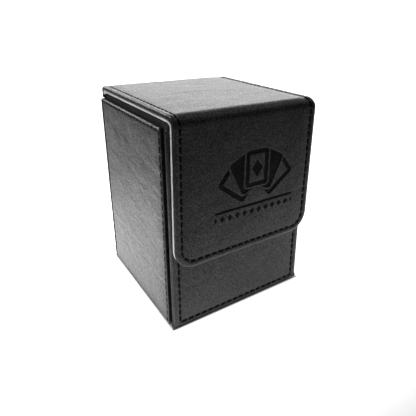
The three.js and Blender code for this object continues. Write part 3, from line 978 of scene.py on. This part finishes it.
def side_panels():
    area = (SIDE_LOW[1], SIDE_HIGH[1], SIDE_LOW[2], SIDE_HIGH[2])
    seam_area = (area[0] + SIDE_SEAM, area[1] - SIDE_SEAM, area[2], area[3] - SIDE_SEAM)
    for part, x, out, seed in (("left_side", SIDE_LOW[0], -1, 5), ("right_side", RIGHT_FACE, 1, 6)):
        lay = flat_panel((x, 0, 0), (0, 1, 0), (0, 0, 1), (out, 0, 0))
        covered_panel(part, lay, area, seam_area, seed, "side_leatherette", open_foot=True, bulge=SIDE_BULGE)


def front_panel():
    area = (FRONT_LOW[0], FRONT_HIGH[0], FRONT_LOW[2], FRONT_HIGH[2])
    seam_area = (*seam_lines("front_thread", 0), *seam_lines("front_thread", 2))
    flat = flat_panel((0, FRONT_LOW[1], 0), (1, 0, 0), (0, 0, 1), (0, -1, 0))

    def lay(u, v, h):
        """The folded leather bunches up a little at the two lower corners."""
        bunched = np.exp(-((area[1] - np.abs(u)) ** 2 + (v - 0.8) ** 2) / 1.6)
        return flat(u + 0.55 * np.sign(u) * bunched, v, h + 0.25 * bunched)

    covered_panel("front", lay, area, seam_area, seed=7)


# ---------------------------------------------------------------- the strip: base, back, lid and flap

def bend_ends(joint):
    """(y, z) of the places before and after a joint where the cover starts and ends to bend."""
    y, z = PIVOTS[joint][1:]
    if joint == "back_crease":
        return (y, z - CREASE_REACH), (y, z + CREASE_REACH)
    if joint == "lid_crease":
        return (y + CREASE_REACH, z), (y - CREASE_REACH, z)
    return (FLAP_Y + BEND_RADIUS, TOP_Z), (FLAP_Y, TOP_Z - BEND_RADIUS)


def bent(made, joint):
    """Lets a piece follow the bodies on both sides of a joint, bending smoothly between them."""
    start, end = ((0, y * MM, z * MM) for y, z in bend_ends(joint))
    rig.blend(made, *JOINED_BODIES[joint], start, end)


def base_and_back():
    widen = STRIP_HALF / BACK_HALF
    seam_u = [edge * widen for edge in seam_lines("back_thread", 0)]
    seam_v = [BACK_FOOT + edge for edge in seam_lines("back_thread", 2)]
    base_fold = (BACK_FOOT - BASE_RADIUS, BACK_FOOT + BASE_RADIUS * 1.2)
    top_fold = (BACK_FOOT + SIDE_HIGH[2], HINGE_MIDDLE)
    area = (-STRIP_HALF, STRIP_HALF, 0, HINGE_MIDDLE)
    fine_v = near(seam_v) + [base_fold, top_fold]
    outline = Outline(area, PANEL_CORNER, 0, cut_high=True, fine_u=near(seam_u), fine_v=fine_v)
    seam = Seam(Outline((*seam_u, *seam_v), SEAM_CORNER, SEAM_CORNER))
    skin = sheet("back_cover", outline, leather_rings(SIDE_SEAM), lay_cover, leather_relief(seam, 8))
    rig.replaces(dress(skin, "leatherette"), "back_and_base_leather", "hinge_leather")
    bent(skin, "back_crease")
    sewn = dress(stitches("back_stitches", seam, lay_cover, seed=8), "thread")
    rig.replaces(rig.ride(sewn, "box"), "back_thread")


def lid_rear():
    area = (-STRIP_HALF, STRIP_HALF, HINGE_MIDDLE, LID_MIDDLE)
    fold = (HINGE_MIDDLE, LID_SEAM_START + 3)
    outline = Outline(area, 0, 0, cut_low=True, cut_high=True, fine_v=[fold])
    sewn_part = Outline((*area[:2], LID_SEAM_START, LID_MIDDLE), 0, 0, cut_low=True, cut_high=True)
    seam = Seam(sewn_part, STRIP_SEAM, ((1,), (3,)))
    skin = sheet("lid_rear_cover", outline, leather_rings(STRIP_SEAM), lay_cover, leather_relief(seam, 9))
    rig.replaces(dress(skin, "leatherette"), "hinge_leather", "lid_leather")
    bent(skin, "lid_crease")
    sewn = dress(stitches("lid_rear_stitches", seam, lay_cover, seed=9), "thread")
    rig.replaces(sewn, "lid_thread_left", "lid_thread_right")
    bent(sewn, "lid_crease")


def lid_front_and_flap():
    across = MOTIF_X - STRIP_MIDDLE
    along = FLAP_START + TOP_Z - BEND_RADIUS - MOTIF_Z
    area = (-STRIP_HALF, STRIP_HALF, LID_MIDDLE, COVER_END)
    fine_u, fine_v = near([across], MOTIF_HALF[0]), near([along], MOTIF_HALF[1])
    outline = Outline(area, 0, FLAP_CORNER, cut_low=True, fine_u=fine_u, fine_v=fine_v)
    seam = Seam(outline, STRIP_SEAM, ((1, 2, 3),))
    relief = leather_relief(seam, 10, pressed_motif)
    skin = sheet("flap_cover", outline, leather_rings(STRIP_SEAM), lay_cover, relief)
    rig.replaces(dress(skin, "leatherette"), "lid_leather", "flap_leather")
    bent(skin, "flap_bend")
    sewn = dress(stitches("flap_stitches", seam, lay_cover, seed=10), "thread")
    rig.replaces(sewn, "lid_thread_left", "lid_thread_right", "flap_thread")
    bent(sewn, "flap_bend")


def lining_sheets():
    half = STRIP_HALF - LINING_INSET
    fold = (INNER_LID_START - INNER_HINGE_RADIUS * 2, INNER_LID_START + 4)
    rings = padding_rings(LINING - 0.03, 0.55)
    flap_corner = FLAP_CORNER - LINING_INSET
    stretches = (
        ("hinge_lining_sheet", 0, INNER_HINGE_MIDDLE, 0, "back_crease", ["hinge_lining"]),
        ("lid_lining_sheet", INNER_HINGE_MIDDLE, INNER_LID_MIDDLE, 0, "lid_crease",
         ["hinge_lining", "lid_lining"]),
        ("flap_lining_sheet", INNER_LID_MIDDLE, INNER_END, flap_corner, "flap_bend",
         ["lid_lining", "flap_lining"]),
    )
    for name, start, end, corner, joint, nodes in stretches:
        area = (-half, half, start, end)
        outline = Outline(area, 0.3, corner, cut_low=start > 0, cut_high=end < INNER_END, fine_v=[fold])
        made = dress(sheet(name, outline, rings, lay_lining, padding_relief(12, 1.2, 3)), "microfibre")
        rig.replaces(made, *nodes)
        bent(made, joint)


# ---------------------------------------------------------------- inside of the box

def rim_binding():
    """Cloth folded over the walls' tops, with rounded edges."""
    thickness, roundness = 2.0, 0.75
    top, foot = RIM_HIGH[2], RIM_LOW[2]
    outer = [(0.0, foot), (0.0, top - roundness)] + quarter(roundness, top, 5)[1:]
    far = [(thickness - inset, z) for inset, z in quarter(roundness, top, 5)[::-1]]
    inside = [(thickness, foot), (thickness - WALL_CLOTH, foot), (thickness - WALL_CLOTH, top - WALL_CLOTH),
              (WALL_CLOTH, top - WALL_CLOTH), (WALL_CLOTH, foot)]
    binding = band("rim_binding_cloth", RIM_LOW, RIM_HIGH, 1.2, outer + far + inside)
    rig.replaces(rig.ride(dress(binding, "wrap_cloth"), "box"), "rim_binding")


def wall_wrap():
    low, high = WRAP_LOW[2], WRAP_HIGH[2]
    edge = 0.1
    face = [(0.0, z) for z in np.linspace(low + edge, high - edge, 24)]
    back = [(WALL_CLOTH * 0.5, high), (WALL_CLOTH, high - edge), (WALL_CLOTH, low + edge),
            (WALL_CLOTH * 0.5, low)]
    wrap = band("wall_wrap_cloth", WRAP_LOW, WRAP_HIGH, 1.0, face + back)
    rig.replaces(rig.ride(dress(wrap, "wrap_cloth"), "box"), "wall_wrap")


def wall_lining():
    low, high = CAVITY_LOW[2], CAVITY_HIGH[2]
    edge = 0.15
    back = [(0.0, low), (0.0, high - 0.1), (edge, high)]
    face = [(WALL_LINING, z) for z in np.linspace(high - edge, low + 0.1, 40)]
    section = back + face + [(WALL_LINING - edge, low)]
    lining = band("wall_lining_cloth", CAVITY_LOW, CAVITY_HIGH, 0.8, section)
    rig.replaces(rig.ride(dress(lining, "microfibre"), "box"), "wall_lining")


def floor_pad():
    area = (FLOOR_LOW[0], FLOOR_HIGH[0], FLOOR_LOW[1], FLOOR_HIGH[1])
    outline = Outline(area, 0.8, 0.8)
    lay = flat_panel((0, 0, FLOOR_HIGH[2]), (1, 0, 0), (0, 1, 0), (0, 0, 1))
    rings = padding_rings(FLOOR_HIGH[2] - FLOOR_LOW[2])
    pad = sheet("floor_lining_pad", outline, rings, lay, padding_relief(13, 0.6, 2))
    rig.replaces(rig.ride(dress(pad, "microfibre"), "box"), "floor_lining")


def carried_over():
    """Boards and magnets keep their CAD shapes and get the looks of their materials."""
    for name, made in frame["nodes"].items():
        if made.hide_render:
            continue
        dress(made, "magnet" if "magnet" in name else "greyboard")


# ---------------------------------------------------------------- studio and camera

def add_light(name, place, aim, size, power):
    """Square soft light, in metres and watts."""
    data = bpy.data.lights.new(name, "AREA")
    data.shape = "SQUARE"
    data.size = size
    data.energy = power
    light = bpy.data.objects.new(name, data)
    light.location = Vector(place)
    light.rotation_euler = (Vector(aim) - light.location).to_track_quat("-Z", "Y").to_euler()
    bpy.context.scene.collection.objects.link(light)


def light_table():
    """Pale floor that glows softly, a painted pool of light most close to the box, and fades out in front and far to
    the left, where the floor's colour is also painted darker as shade. A narrow strip around the box's foot stays dark
    as a painted contact shadow. Lengths here are in metres."""
    hot_spot, hot_inner, hot_outer = (-0.06, 0.05, 0), 0.02, 0.13
    even_glow, hot_glow = 1.1, 1.9
    contact_shadow_strip = 0.0018
    below_box = 0.0004
    bpy.ops.mesh.primitive_plane_add(size=8)
    floor = bpy.context.object
    floor.name = "studio_floor"
    floor.location.z = SIDE_LOW[2] * MM - below_box
    look = Look("studio_floor")
    place = look.node("TexCoord").outputs["Object"]
    across, along, _ = look.node("SeparateXYZ", {"Vector": place}).outputs
    front = look.ramp(along, -0.178, -0.06)
    left = look.ramp(across, -0.20, -0.10)
    lit = look.math("MULTIPLY", front, left)
    distance = look.node("VectorMath", {0: place, 1: hot_spot}, operation="DISTANCE").outputs["Value"]
    # Painted pool of light: the glow is strongest round a spot behind and left of the box.
    hot = look.ramp(distance, hot_inner, hot_outer, hot_glow, 0.0)
    glow = look.math("MULTIPLY", lit, look.math("ADD", hot, even_glow))
    half = (BACK_Y - FRONT_LOW[1]) / 2 * MM
    from_middle = look.math("SUBTRACT", along, (FRONT_LOW[1] + BACK_Y) / 2 * MM)
    outside = look.math("MAXIMUM", look.math("ABSOLUTE", across), look.math("ABSOLUTE", from_middle))
    # Painted contact shadow: the glow fades out in a narrow strip round the box's foot.
    glow = look.math("MULTIPLY", glow, look.ramp(outside, half, half + contact_shadow_strip))
    pale = look.mix(look.noise(place, 3.0), grey(0.8), grey(0.84))
    # Painted shade: the floor's colour darkens to grey where its glow fades out.
    look.set(Base_Color=look.mix(lit, grey(0.3), pale), Roughness=0.9)
    look.set(Emission_Color=grey(1.0), Emission_Strength=glow, Specular_IOR_Level=0.1)
    floor.data.materials.append(look.material)
    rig.stage(floor)


def backdrop_glow():
    """Bright backdrop low behind the box on the right, dim surroundings elsewhere."""
    bright_glow, dim_glow = 4.5, 0.05
    world = bpy.data.worlds.new("studio")
    bpy.context.scene.world = world
    world.use_nodes = True
    sky = Nodes(world.node_tree)
    direction = sky.node("TexCoord").outputs["Generated"]

    def toward(axis, dark, bright):
        """Glow that grows between two values of a direction's cosine to the axis."""
        share = sky.node("VectorMath", {0: direction, 1: axis}, operation="DOT_PRODUCT").outputs["Value"]
        return sky.ramp(share, dark, bright)

    strength = sky.math("MULTIPLY", toward((0.64, 0.77, 0), 0.68, 0.9), toward((0, 0, 1), 0.8, 0.2))
    strength = sky.math("ADD", sky.math("MULTIPLY", strength, bright_glow), dim_glow)
    background = world.node_tree.nodes["Background"]
    sky.feed(background.inputs["Strength"], strength)
    sky.feed(background.inputs["Color"], grey(1.0))


def studio():
    light_table()
    backdrop_glow()
    add_light("left_softbox", (-0.8, 0.1, 0.4), (-0.03, 0.0, 0.05), 0.4, 0.8)
    add_light("top_softbox", (-0.15, 0.3, 0.9), (0, 0, 0.05), 0.2, 4)
    add_light("bend_softbox", (0.75, -0.28, 1.0), (0, -0.04, 0.09), 0.5, 1.3)
    add_light("rim_softbox", (-0.2, 1.0, 0.55), (0, 0, 0.08), 0.25, 2.5)
    bpy.context.scene.view_settings.view_transform = "Standard"


def camera():
    """Seen from the front left and above, close enough for a clear perspective."""
    data = bpy.data.cameras.new("camera")
    data.sensor_width = 36.0
    data.lens = 35.37
    data.shift_x = -0.0541
    data.shift_y = -0.0923
    data.clip_start, data.clip_end = 0.01, 20
    seen = bpy.data.objects.new("camera", data)
    seen.location = (-0.10182, -0.17217, 0.13618)
    yaw, pitch, roll = math.radians(34.757), math.radians(21.022), math.radians(0.964)
    turn = Matrix.Rotation(-yaw, 4, "Z") @ Matrix.Rotation(math.pi / 2 - pitch, 4, "X")
    seen.rotation_euler = (turn @ Matrix.Rotation(roll, 4, "Z")).to_euler()
    bpy.context.scene.collection.objects.link(seen)
    bpy.context.scene.camera = seen


side_panels()
front_panel()
base_and_back()
lid_rear()
lid_front_and_flap()
lining_sheets()
rim_binding()
wall_wrap()
wall_lining()
floor_pad()
carried_over()
studio()
camera()

visual_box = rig.bounds()
sizes = {"cad": [list(corner) for corner in cad_box], "visual": [list(corner) for corner in visual_box]}
with open("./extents.json", "w") as file:
    json.dump(sizes, file, indent=1)
